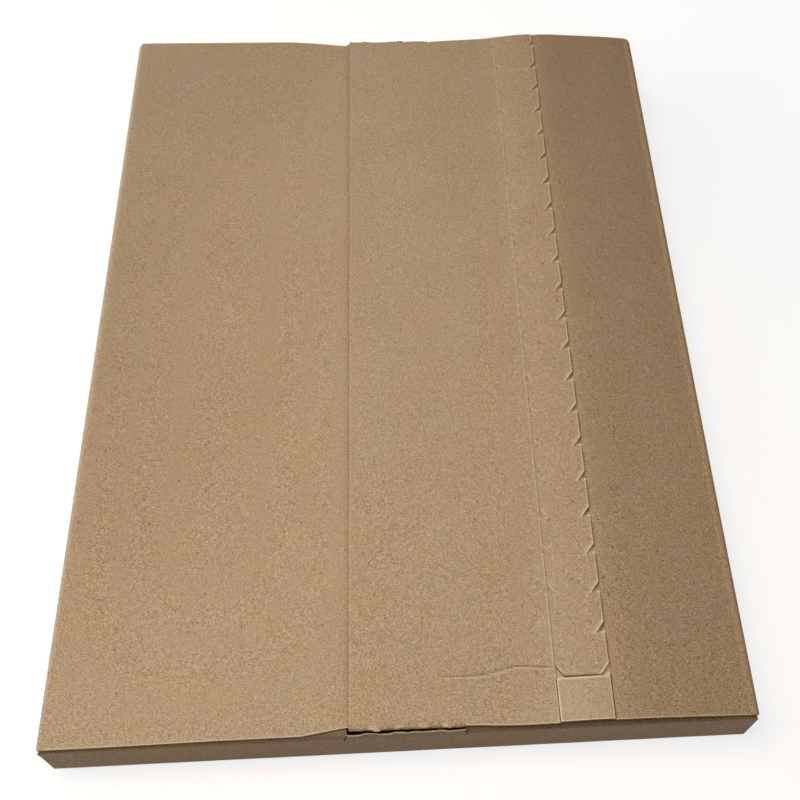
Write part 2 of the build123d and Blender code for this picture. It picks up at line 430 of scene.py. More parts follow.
def hook_shear(x, rows, count):
    """Shift of the strip's grid lines towards the near end, so that they follow the hooks' slope.

    It grows with the hook's slope from each zipper line to the hooks' width and stays there across the strip.
    """
    inside = np.minimum(x - STRIP_LEFT, STRIP_RIGHT - x)
    across = HOOK_LENGTH * np.clip(inside / HOOK_WIDTH, 0, 1) * (np.arange(len(x)) < count)
    along = np.clip(rows / FIRST_CORNER, 0, 1) * np.clip((LENGTH - rows) / 8, 0, 1)
    return along[:, None] * across


def cut(distance, half_width=0.14):
    """1 inside a knife cut, 0 outside it, for a distance from its line."""
    return smooth((half_width + 0.04 - distance) / 0.08)


def past_hook(inside, place):
    """Signed distance beyond the line of a hook whose corner is at place 0."""
    return (place + HOOK_SLOPE * inside) / math.hypot(1, HOOK_SLOPE)


def hook_places(inside, from_near, seed):
    """Places in the zipper's pattern, for a distance inside the strip and one from the near end.

    Gives the place along the pitch from the hook's corner, the distances from the straight cut and from the
    hook, the signed distance past the hook's line, the shares of the facet's three corners (the hook's
    corner, its tip and the nick), where the facet is, and a seeded random number for the hook.
    """
    shifted = from_near - FIRST_CORNER + PITCH / 2
    place = np.mod(shifted, PITCH) - PITCH / 2
    chance = np.random.default_rng(seed).uniform(0, 1, 40)[np.floor(shifted / PITCH).astype(int) + 2]
    straight = np.minimum(
        to_segment(inside, place, (0, 0), (0, CUT_LENGTH)), to_segment(inside, place, (0, NICK), (0, -PITCH))
    )
    hook = to_segment(inside, place, (0, 0), (HOOK_WIDTH, -HOOK_LENGTH))
    tip = inside / HOOK_WIDTH
    at_nick = (place + HOOK_LENGTH * tip) / NICK
    corners = (1 - tip - at_nick, tip, at_nick)
    facet = (inside > 0) & (np.min(corners, axis=0) > 0) & (from_near > FIRST_CORNER)
    return place, straight, hook, past_hook(inside, place), corners, facet, chance


def right_zipper(inside, from_near):
    """Relief and tone along the right-hand zipper line.

    The strip's edge stands up by S and the lid's edge lies lower by P, both easing out over some millimetres.
    Below each hook a three-sided facet falls from the nick and the hook's tip to the hook's corner. The tone
    paints highlights on the strip's edge, the hooks' lips, the nick and the crease beside it, and shadows on
    each facet and on the lid beside the straight cut.
    """
    place, straight, hook, past, (corner, tip, at_nick), facet, chance = hook_places(inside, from_near, 71)
    on_strip = inside > 0
    strong = (0.75 + 0.5 * chance) * (1 - 0.45 * smooth(from_near / LENGTH))
    level = np.where(on_strip, 0.26 * smooth(1 - inside / 8), -0.3 * smooth(1 + inside / 7))
    level = np.where(facet, (-0.55 * corner - 0.02 * at_nick + 0.15 * tip) * strong, level)
    in_hook = on_strip & (hook < 1.5)
    lip = bell(past - 0.5, 0.34) * in_hook * (past > 0)
    relief = level + 0.12 * lip * strong - 0.25 * cut(hook) - 0.15 * cut(straight)
    crease = to_segment(inside, place, (0.1, NICK), (2.2, NICK - 0.25))
    spot = np.hypot(inside - 0.45, place - NICK)
    # Painted highlights on the strip's edge, the hooks' lips, the crease below each nick and the nick
    tone = 0.46 * bell(straight - 0.6, 0.32) * on_strip * (inside < 1.4)
    tone = np.maximum(tone, (0.92 - 0.35 * smooth(from_near / LENGTH)) * lip)
    tone = np.maximum(tone, (0.75 * bell(crease, 0.34) + bell(spot, 0.8)) * (0.75 + 0.25 * chance))
    # Painted shadow on each facet below a hook, cast by the raised strip
    shade = (0.45 + 0.55 * corner.clip(0, 1)) * smooth(1 + past / 2.8) * strong
    tone = np.where(facet & (crease > 0.32) & (spot > 0.75), -shade, tone)
    # Painted shadow on the lid beside the straight cut, cast by the strip's step
    tone = tone - 0.5 * bell(inside + 0.2, 0.22) * (straight < 0.6) * ~on_strip
    return relief, tone


def left_zipper(inside, from_near):
    """Relief and tone along the left-hand zipper line, which is pressed nearly flat.

    The lid's edge stands a little proud of the strip, and the hooks show as fine dents of uneven strength.
    The tone paints highlights on the lid's edge, the hooks' lips and the nicks, and shadows on the strip
    beside the cut and under the hooks.
    """
    place, straight, hook, past, (corner, tip, _), facet, chance = hook_places(inside, from_near, 72)
    on_strip = inside > 0
    fade = 1 - 0.55 * smooth(from_near / 300)
    level = np.where(on_strip, -0.1 * smooth(1 - inside / 5), 0.1 * smooth(1 + inside / 5)) * fade
    chance = chance * (1 - 0.7 * smooth((from_near - 60) / 150))
    level = level - np.where(facet, 0.3 * corner * (0.1 + 0.9 * chance), 0)
    relief = level - 0.3 * cut(hook) * chance - 0.1 * cut(straight) * fade
    # Painted highlight on the lid's edge and painted shadow on the strip beside it, then the hooks'
    # highlights and shadows
    tone = 0.36 * bell(inside + 0.6, 0.34) * (straight < 1.2) * ~on_strip * (0.6 + 0.4 * fade)
    tone = tone - 0.35 * bell(inside - 0.2, 0.22) * (straight < 0.6) * on_strip * fade
    on_hook = on_strip & (hook < 0.9)
    tone = tone + 0.9 * bell(past - 0.35, 0.36) * on_hook * (0.15 + 0.85 * chance) * smooth((1 - tip) / 0.3)
    uneven = 0.4 + 0.6 * chance
    tone = tone - 0.7 * bell(past + 0.15, 0.35) * on_hook * (0.2 + bell(tip - 0.9, 0.3)) * uneven
    spot = np.hypot(inside + 0.2, place - NICK)
    return relief, np.maximum(tone, 0.75 * bell(spot, 0.5) * uneven)


def painted_slow_shading(x, from_near):
    """Painted light and shade as slow changes of the board's tone: painted pools of light over the middle and
    near the strip's near end, painted shade at the left-hand fold, at the far left and by the strip's far
    end, painted light at the near left, and painted shade over the right-hand panel beyond the strip.
    """
    along = from_near / LENGTH
    painted_left_fold_shade = 0.1 * bell(x + HALF_WIDTH, 40) * np.sin(math.pi * np.clip(along, 0, 1))
    painted_middle_light = 0.09 * bell(x - 8, 55) + 0.12 * bell(x - 70, 24) * (1 - along.clip(0, 1)) ** 6
    # Painted light at the near left, and painted shade at the far left and by the strip's far end
    near = smooth((0.35 - along) / 0.3) * smooth((-10 - x) / 40)
    far = smooth((along - 0.7) / 0.3) * (smooth((-30 - x) / 60) + bell(x - 78, 18))
    # The right-hand panel beyond the strip gets painted shade, as it slopes away from the light
    return painted_middle_light - painted_left_fold_shade + 0.08 * near - 0.05 * far - (0.16 + 0.06 * along) * smooth((x - STRIP_RIGHT) / 4)


def tear_strip(x, from_near):
    """Relief and tone of the tear strip: both zipper lines, and the pull tab that is cut free below them. The
    tone paints highlights and shadows along the cuts and creases, and the pull tab a little paler, as light
    on a tilted tab.
    """
    right = STRIP_RIGHT - x
    left = x - STRIP_LEFT
    use_right = x > (STRIP_LEFT + STRIP_RIGHT) / 2
    relief, tone = np.where(use_right, right_zipper(right, from_near), left_zipper(left, from_near))
    inside = np.minimum(left, right)
    on_tab = inside > 0

    # The last hooks are open cuts that run into the neck
    end_cut = to_segment(inside, from_near, (0, FIRST_CORNER), (HOOK_WIDTH, STRIP_END))
    open_cut = np.where(left < right, 0.8, 0.3)
    relief = relief - open_cut * cut(end_cut, 0.2)
    side = past_hook(inside, from_near - FIRST_CORNER)
    near_cut = (end_cut < 1) & on_tab
    # Painted highlight just past each end cut, painted shadow inside it, and on the right a wider painted
    # shadow before it
    end_cut_light_and_shade = np.where(left < right, 0.2, 0.7) * bell(side - 0.4, 0.3) - open_cut * bell(side + 0.15, 0.3)
    end_cut_light_and_shade = end_cut_light_and_shade - 0.4 * bell(side + 1.0, 0.8) * (left > right)
    tone = tone + near_cut * end_cut_light_and_shade

    sides = np.hypot(inside, (from_near - STRIP_END).clip(0))
    shoulders = to_segment(inside, from_near, (0, STRIP_END), (HOOK_WIDTH, STRIP_END))
    level = 0.25 * smooth(inside / 0.4) * on_tab + np.where(on_tab, 0, relief)
    tab_relief = level - 1.2 * cut(np.minimum(sides, shoulders), 0.17)
    # The pull tab is painted a little paler, as painted light, with painted highlights on its cut edges and
    # painted shadow in the cuts
    tab_light_and_shade = 0.1 * on_tab + 0.75 * bell(inside - 0.48, 0.3)
    tab_light_and_shade = tab_light_and_shade + 0.3 * bell(inside + 0.5, 0.25) * (left < right) - 0.5 * bell(inside + 0.04, 0.24)
    below = smooth((STRIP_END - from_near) / 0.3)
    relief = relief + (tab_relief - relief) * below
    tone = tone + (tab_light_and_shade - tone) * below

    # The neck is crushed by the pull: a crease with a painted shadow, and a painted highlight on the tab's
    # edge on its near side
    on_neck = smooth((inside - HOOK_WIDTH + 0.4) / 0.5)
    past_neck = from_near - STRIP_END
    lip = bell(past_neck + 0.78, 0.4) * smooth(inside)
    relief = relief - 0.55 * bell(past_neck, 0.4) * on_neck + 0.15 * lip
    tone = tone + 0.95 * lip - 0.85 * bell(past_neck - 0.2, 0.35) * on_neck
    return relief, tone


def lid_marks(x, from_near):
    """Relief and tone of the crushed line beside the strip's end and of the crease across its far end; the
    tone paints a shadow and a highlight along the crushed line and a highlight along the crease.
    """
    crushed_x = (17.8, 24.7, 32.5, 40.3, 48.3, 50.5, 58.3, 66.2)
    off = from_near - np.interp(x, crushed_x, (23.1, 22.9, 22.8, 24.1, 26.1, 26.3, 25.6, 24.9))
    reach = smooth((x - crushed_x[0]) / 4) * smooth((crushed_x[-1] + 0.5 - x) / 2)
    relief = (-0.28 * bell(off, 0.55) + 0.12 * bell(off + 1.1, 0.5)) * reach
    tone = (-0.5 * bell(off - 0.25, 0.4) + 0.42 * bell(off + 0.55, 0.4)) * reach
    across = smooth((x - 72) / 2) * smooth((88.5 - x) / 2)
    off = from_near - FAR_CREASE
    relief = relief - 0.15 * bell(off, 0.5) * across
    tone = tone + 0.3 * bell(off + 0.2, 0.45) * across
    return relief, tone


def free_edge_relief(x, from_near):
    """Relief of the outer lid along its free edge: a slow upward curl, and the cut edge pressed round."""
    curl = 0.3 * smooth(swell(from_near, 0 * x, 190, 9)) * bell(x - FREE_EDGE, 14)
    return curl - 0.07 * bell(x - FREE_EDGE, 0.3)


def outer_lid_relief(x, from_near):
    """All relief of the outer lid's top face."""
    strip, _ = tear_strip(x, from_near)
    marks, _ = lid_marks(x, from_near)
    return strip + marks + free_edge_relief(x, from_near)


def outer_lid_tone(x, from_near, ends):
    """All tone of the outer lid's top face, with its painted highlights, shadows and slow light and shade;
    ends is the distance from the nearer end's edge.
    """
    _, strip = tear_strip(x, from_near)
    _, marks = lid_marks(x, from_near)
    edges = 0.8 * bell(ends, 0.4) * smooth(x - TAB_RIGHT)
    # Pale line on the free edge's lip, and a painted shadow line at the edge itself, where the step shades it
    edges = edges + 0.13 * bell(x - FREE_EDGE - 0.5, 0.3) - 0.45 * bell(x - FREE_EDGE, 0.2)
    # Random mottle, and slow painted light and shade
    mottle_and_painted_shading = 0.015 * swell(x, from_near, 60, 21) + painted_slow_shading(x, from_near)
    return np.clip(strip + marks + edges + mottle_and_painted_shading, -1, 1)


def outer_sleeve(lid_x, rows):
    """Grids of the outer lid, the right-hand wall and half the base, for given lines across and along."""
    near_setback = np.interp(
        lid_x,
        (TAB_RIGHT, TAB_RIGHT + 0.2, 33, 40, 50, 66, 67.2, 67.4, 91.4, 91.6, 113, 152),
        (TAB_ROOT, 1.9, 1.7, 1.2, 0.85, 0.76, 0.76, 1.2, 1.25, 0.9, 0.83, 0.75),
    )
    far_setback = np.interp(
        lid_x,
        (TAB_RIGHT, TAB_RIGHT + 0.2, 37, 52, 62, 70, 91.2, 91.5, 91.8, 152),
        (TAB_ROOT, 2.6, 1.6, 0.8, 0.5, 0, 0, 1.6, 0, 0.1),
    )
    setbacks = (near_setback, far_setback)
    return sleeve_grids(lid_x, outer_lid_height, 1, rows, setbacks, (1.0, 5.0), 0.003, outer_lid_relief)


def make_outer_lid():
    """Outer lid up to the right-hand fold, with its tear strip and the flutes of its free edge."""
    beside = (-5, -3, -1.8, -1, -0.62, -0.4, -0.24, -0.1, 0.1, 0.24, 0.4, 0.62, 0.95, 1.5, 2.2, 3, 3.7, 4.1)
    beside = np.array(beside + (4.6, 5.4, 7))
    free = FREE_EDGE + np.array((0, 0.15, 0.4, 0.9, 2, 4, 8, 15, 23, 31, 39, 45))
    plain = (TAB_RIGHT, TAB_RIGHT + 0.2, 26.4, 28, 31, 35, 40, 43, 46, 50, 54, 58, 61.5, 65.5, 77.5, 80, 82.5)
    right = (96, *range(100, 146, 5), 149, FOLD_START)
    lid_x = grid_lines(free, plain, STRIP_LEFT + beside, STRIP_RIGHT - beside, right)
    near_ends = (0, 0.15, 0.4, 0.8, 1.4, 2.2, 3.3, 4.8, 6.5, 8.5, 11, 13.5, 16, 18)
    corners = FIRST_CORNER + PITCH * np.arange(22)
    steps = (-4.9, -4.55, -4.2, -3.7, -3.1, -2.5, -1.9, -1.4, -0.95, -0.6, -0.3, 0, 0.16, 0.38, 0.65, 0.95)
    per_pitch = (corners[:, None] + np.array(steps + (1.4, 4, 7.5, 11))).ravel()
    per_pitch = per_pitch[per_pitch < LENGTH - 5]
    dense = np.arange(19, 28, 0.33)
    crease = FAR_CREASE + HOOK_LENGTH + np.array((-0.9, -0.45, 0, 0.45, 0.9))
    far_ends = LENGTH - np.array((0, 0.15, 0.4, 0.8, 1.4, 2.2, 3.3, 4.6))
    rows = grid_lines(near_ends, dense, per_pitch, crease, far_ends)
    outer, inner, from_near = [grid[:, : len(lid_x)] for grid in outer_sleeve(lid_x, rows)]
    ends = np.minimum(from_near - from_near[0], from_near[-1] - from_near)
    askew = 0.5 * smooth(lid_x / 60) * smooth((150 - lid_x) / 50) * smooth(from_near / LENGTH)
    outer[..., 0] += askew
    inner[..., 0] += askew
    board = Board()
    tone = outer_lid_tone(lid_x + 0 * from_near, from_near, ends)
    board.add_sheet(outer, inner, tone, from_near * MM, depths=(0.5, 0.5, 2.6, 0.0))
    board.add_flutes(outer[:, 0], (0.0, 0.0, 1.0), (1.0, 0.0, 0.0))
    return board.finish("outer_lid")


def make_right_wall():
    """Right-hand fold and wall with half the base, which carry on from the outer lid's last line."""
    near_ends, far_ends = (0, 0.3, 0.8, 2, 5, 10, 20), LENGTH - np.arange(0, 21, 5)
    rows = grid_lines(near_ends, np.linspace(40, LENGTH - 40, 12), far_ends)
    lid_x = np.linspace(120, FOLD_START, 9)
    outer, inner, from_near = [grid[:, len(lid_x) - 1 :] for grid in outer_sleeve(lid_x, rows)]
    board = Board()
    board.add_sheet(outer, inner, 0.0, from_near * MM, depths=(1.2, 1.2, 0.0, 0.6))
    return board.finish("right_wall")


def inner_lid_height(x, y):
    """Height of the inner lid's top face: one step below the outer lid's, which is flat on the left."""
    return outer_lid_height(x, y) - LAYER_STEP


def inner_lid_relief(x, _):
    """Relief of the inner lid: a faint dent along the outer lid's free edge."""
    return -0.12 * bell(x - FREE_EDGE + 1.2, 1.6)


def make_inner_lid():
    """Inner lid with the left-hand wall and half the base."""
    under = (INNER_FREE_EDGE, 85.3, 84, 80, 74, 68, 60, 52, 45, 35, 20, 5, -8, -17, -20.5, -22.5, -23.6)
    middle = (FREE_EDGE, -25.2, -26, -27, -28.5, *range(-30, -45, -2), -45.4, -47, -50)
    left = (-54, -58, -62, *range(-70, -141, -10), -148, -152)
    lid_x = np.array(under + middle + left, float)
    near_ends = np.array((0, 0.15, 0.4, 0.8, 1.4, 2.2, 3.3, 4.8, 6.5, 8.5, 11, 15))
    rows = grid_lines(near_ends, np.arange(20, 412, 8), LENGTH - near_ends)
    near_setback = np.interp(
        lid_x,
        (-152, -130, -105, -80, -46, -44, FREE_EDGE, -18, 84, INNER_FREE_EDGE),
        (0.5, 0.5, 0.7, 0.93, 0.95, 1.05, 3.9, 4.8, 4.8, 8),
    )
    far_setback = np.interp(
        lid_x,
        (-152, -62, -55, -47, -39.5, -29.4, FREE_EDGE, -18, 84, INNER_FREE_EDGE),
        (0.1, 0.1, 0.7, 1.4, 2.3, 3.7, 4.1, 4.8, 4.8, 8),
    )
    setbacks = (near_setback, far_setback)
    outer, inner, from_near = sleeve_grids(
        lid_x, inner_lid_height, -1, rows, setbacks, (1.0, 4.5), 0.0015, inner_lid_relief
    )
    ends = np.minimum(from_near - from_near[0], from_near[-1] - from_near)
    x = outer[..., 0]
    # Pale edges, random mottle, and slow painted light and shade
    tone = 0.7 * bell(ends, 0.4) + 0.015 * swell(x, from_near, 60, 22) + painted_slow_shading(x, from_near)
    # Painted shadow on the inner lid beside the outer lid's free edge, where the step shades it
    painted_step_shadow = 0.22 * bell(x - FREE_EDGE + 0.7, 1.0) + 0.4 * bell(x - FREE_EDGE, 0.3)
    tone = tone - painted_step_shadow * (x < FREE_EDGE + 0.1)
    tone[:, len(lid_x):] = 0
    board = Board()
    board.add_sheet(outer, inner, tone, from_near * MM, depths=(0.5, 0.5, 2.0, 0.6))
    return board.finish("inner_lid")


def end_path():
    """Section of an end as (distance in from the end plane, height): base, fold, wall, fold, inner flap."""
    lower = corner_arc((20, 0), (0, 0), (0, 20), FOLD_RADIUS, FOOT_POINTS)
    wall = [(0, z) for z in (*range(5, 24, 3), 25, 26, 26.6, 27.2, 27.8, 28.3)]
    upper = corner_arc((0, 10), (0, FLAP_TOP), (40, FLAP_TOP), END_FOLD_RADIUS, 16)
    flap = [(inward, FLAP_TOP) for inward in (4.2, 5, SLOT_DEPTH, 6, 7, 9, 14, 25, 45, 60, 74, FLAP_DEPTH)]
    return np.concatenate([lower, wall, upper, flap]), len(lower) + len(wall)


def end_half_width(path, top_radius):
    """Half the end's width along its section: rounded at the foot, cut back round the top fold, tapered."""
    inward, z = path[:, 0], path[:, 1]
    foot = FOOT_RADIUS - np.sqrt((FOOT_RADIUS**2 - np.square((FOOT_RADIUS - z).clip(0))).clip(0))
    crown = (2.1 + top_radius) * smooth((z - 29) / (FLAP_TOP - 29))
    taper = 6 * smooth((inward - 4) / FLAP_DEPTH)
    return HALF_WIDTH - foot - crown - np.where(z > 10, taper, 0)


def make_end(name, side, seed, top_radius):
    """An end wall with its folds, its inner flap and the slot that takes the tuck tab."""
    path, wall_count = end_path()
    close = np.array((-3, -2.6, -2.3, -2, -1.7, -1.4, -1.1, -0.8, -0.5, -0.25, 0, 0.25))
    wide = np.linspace(-HALF_WIDTH, HALF_WIDTH, 40)
    columns = grid_lines(wide, SLOT_LEFT + close, SLOT_RIGHT - close, np.arange(-25, 26.3, 0.7))
    half = end_half_width(path, top_radius)
    limit = 130.0
    spare = (np.abs(columns) - limit).clip(0) / (HALF_WIDTH - limit)
    x = np.sign(columns) * (np.minimum(np.abs(columns), limit) + spare * (half - limit)[:, None])
    inward, z = path.T[:, :, None] + 0 * x
    out_in, out_up = path_normals(path, 1).T[:, :, None] + 0 * x
    steps = lengths_along(path)
    number = np.arange(len(path))

    # The lip of the slot isn't bent: there the wall goes straight up, leaning in a little, to a torn edge,
    # from the foot of the top fold to the slot's first row; the slot ends on the flap
    rise = (steps - steps[wall_count]).clip(0)[:, None]
    slant = np.minimum(x - SLOT_LEFT, SLOT_RIGHT - x)
    depth_below = SLOT_FLOOR - (TOP_FOLD_FOOT + rise)
    lip_row = wall_count + 8
    flap_row = int(np.argmin(np.abs(path[:, 0] - SLOT_DEPTH) + (path[:, 1] < FLAP_TOP) * 99))
    on_lip = ((number >= wall_count) & (number <= lip_row))[:, None]
    free = smooth((slant + depth_below.clip(0)) / 0.25) * on_lip
    torn = 0.45 * ragged(x, seed, 1.5) * (number == lip_row)[:, None]
    straight_in = (0.2 + 0.12 * ragged(x, seed + 5, 2.2)) * rise
    straight_up = TOP_FOLD_FOOT + rise * (1.22 + 0.16 * x / SLOT_RIGHT) + torn
    inward = inward + free * (straight_in - inward)
    z = z + free * (straight_up - z)
    out_in = out_in + free * (-1 - out_in)
    out_up = out_up * (1 - free)

    bulge = 0.18 * swell(x, z, 70, seed) * smooth(z / 6) * smooth((28.3 - z) / 4)
    slit = np.minimum(
        to_segment(x, z, (SLOT_LEFT, 31), (SLOT_LEFT - 1.4, 26.6)),
        to_segment(x, z, (SLOT_RIGHT - 0.3, 31), (SLOT_RIGHT + 0.6, 28.4)),
    )
    slit = np.where(inward < 3, slit, 9)
    move = -np.abs(bulge) - cut(slit * 0.6)
    y = side * (HALF_LENGTH - inward)
    outward = unit(np.stack([0 * x, -side * out_in, out_up], axis=-1))
    base = np.stack([x, y, z], axis=-1)
    outer = base + outward * move[..., None]
    crushed = np.where(free > 0, 0.65 * smooth(rise / 2.5) * free, 0)
    inner = base - outward * (BOARD * (1 - crushed))[..., None]
    lip_line = smooth((number - lip_row + 2) / 2)[:, None] * free
    tone = lip_line * (0.25 + 0.6 * ragged(x, seed + 1, 2.6)) - cut(slit * 0.6)
    # Random tone, and painted shade on the top fold, which lies in the shade of the lids
    tone = tone + 0.04 * swell(x, z, 40, seed + 2) - 0.4 * smooth((z - 28.5) / 2.5) * (1 - free)
    slot_columns = [int(np.argmin(np.abs(columns - place))) for place in (SLOT_LEFT, SLOT_RIGHT)]
    board = Board()
    slot = ((lip_row, flap_row), slot_columns)
    flute = steps[:, None] * MM
    board.add_sheet(outer, inner, np.clip(tone, -1, 1), flute, [slot], (0.0, 0.6, 2.4, 2.4))
    wall = slice(FOOT_POINTS, wall_count + 2)
    for column, towards in ((0, 1.0), (-1, -1.0)):
        board.add_flutes(outer[wall, column], outward[wall, column], (towards, 0.0, 0.0))
    return board.finish(name)


def make_tuck_tab(name, side, seed):
    """A tuck tab: the outer lid's end, bent down over a rough fold and leaning in behind the end wall.

    The near one has a flake of torn paper that stands up from its front.
    """
    lean = np.array((math.sin(TAB_LEAN), -math.cos(TAB_LEAN)))
    foot = np.array((TAB_SETBACK, OUTER_LID_TOP)) + lean * TAB_DEPTH / math.cos(TAB_LEAN)
    fold = corner_arc((10, OUTER_LID_TOP), (TAB_SETBACK, OUTER_LID_TOP), foot, TAB_FOLD_RADIUS, 14)
    lengths = np.array((1, 2.2, 3.6, 5.5, 8, 9.5, 10.8, 12, 13, 13.8, 14.3, 14.58))
    down = fold[-1] + lean * lengths[:, None] * (TAB_DEPTH - 2.2) / lengths[-1]
    path = np.concatenate([[(TAB_ROOT, OUTER_LID_TOP)], fold, down])
    steps = lengths_along(path)
    to_tip = (TAB_CORNER - (steps[-1] - steps)).clip(0)
    half = (TAB_RIGHT - TAB_LEFT) / 2 - TAB_CORNER + np.sqrt((TAB_CORNER**2 - to_tip**2).clip(0))
    share = np.linspace(-1, 1, 84)
    x = (TAB_LEFT + TAB_RIGHT) / 2 + half[:, None] * share
    normal = path_normals(path, 1)
    normal *= np.sign(normal[1, 1])
    drift = -0.25 * (x / TAB_RIGHT) * smooth((TAB_ROOT - path[:, :1]) / 2)
    y = side * (HALF_LENGTH - path[:, :1] - drift)
    z = path[:, 1:] + lid_warp(x, y) + free_edge_relief(x, y + HALF_LENGTH)
    outward = np.stack([0 * x, -side * normal[:, :1] + 0 * x, normal[:, 1:] + 0 * x], axis=-1)

    # The fold's points are rows 1 to 14, so row 4 is on its top, and at rows 11 and 12 it has turned down
    number = np.arange(len(path))[:, None]
    bend = bell(number - 9, 5.0) * (number > 0)
    rough = (0.4 * ragged(x, seed, 1.3) + 0.4 * ragged(x, seed + 1, 4.0) - 0.15) * bend
    flake = smooth((1.9 - np.abs(x - FLAKE_X)) / 0.6) * bell(steps[:, None] - steps[11], 0.5) * (side < 0)
    rough = rough * (1 - flake) + 0.6 * flake
    base = np.stack([x, y, z], axis=-1)
    outer = base + outward * rough[..., None]
    inner = base - outward * BOARD
    torn = smooth((ragged(x, seed + 2, 1.1) - 0.35) / 0.25) * bell(steps[:, None] - steps[4], 0.45)
    torn = np.maximum(torn, flake)
    # The tab's front, deep in shade behind the end wall, is painted paler: painted light
    front = smooth((steps[:, None] - steps[12] - 0.3 * ragged(x, seed + 4, 2.3)) / 0.5)
    tone = 0.22 * bend * (0.5 + 0.5 * ragged(x, seed + 3, 0.9)) * (1 - front) + 0.5 * front
    tone = tone + (1 - tone) * torn
    board = Board()
    board.add_sheet(outer, inner, np.clip(tone, -1, 1), steps[:, None] * MM)
    return board.finish(name)


class Shader:
    """Empties the node tree of a material or world, and adds nodes to it and joins them."""

    def __init__(self, owner):
        owner.use_nodes = True
        self.tree = owner.node_tree
        self.tree.nodes.clear()

    def add(self, kind, inputs=None, **values):
        """A node with its settings, and its inputs set to a value or joined to another node's output."""
        node = self.tree.nodes.new(kind)
        for label, value in values.items():
            setattr(node, label, value)
        for label, value in (inputs or {}).items():
            if isinstance(value, bpy.types.NodeSocket):
                self.tree.links.new(value, node.inputs[label])
            else:
                node.inputs[label].default_value = value
        return node

    def math(self, operation, *terms):
        """Output of a Math node."""
        return self.add("ShaderNodeMath", dict(enumerate(terms)), operation=operation).outputs[0]

    def noise(self, place, scale, detail=2.0, roughness=0.5):
        """Factor of a Noise Texture, with its scale in periods per metre."""
        inputs = {"Vector": place, "Scale": scale, "Detail": detail, "Roughness": roughness}
        return self.add("ShaderNodeTexNoise", inputs).outputs[0]

    def shift(self, colour, step, factor):
        """A colour with a step, times a factor, added to it."""
        inputs = {0: factor, 1: step, 2: colour}
        return self.add("ShaderNodeVectorMath", inputs, operation="MULTIPLY_ADD").outputs[0]

    def mix(self, factor, first, second):
        """Output of a colour Mix node."""
        inputs = {0: factor, 6: first, 7: second}
        return self.add("ShaderNodeMix", inputs, data_type="RGBA", clamp_factor=True).outputs[2]

    def ramp(self, factor, low, high):
        """Maps low..high to 0..1."""
        inputs = {"Value": factor, "From Min": low, "From Max": high}
        return self.add("ShaderNodeMapRange", inputs, clamp=True).outputs[0]

    def seen(self):
        """1 for camera, glossy and transmission rays, and 0 for those that light the carton."""
        path = self.add("ShaderNodeLightPath").outputs
        seen = self.math("MAXIMUM", path["Is Camera Ray"], path["Is Glossy Ray"])
        return self.math("MAXIMUM", seen, path["Is Transmission Ray"])


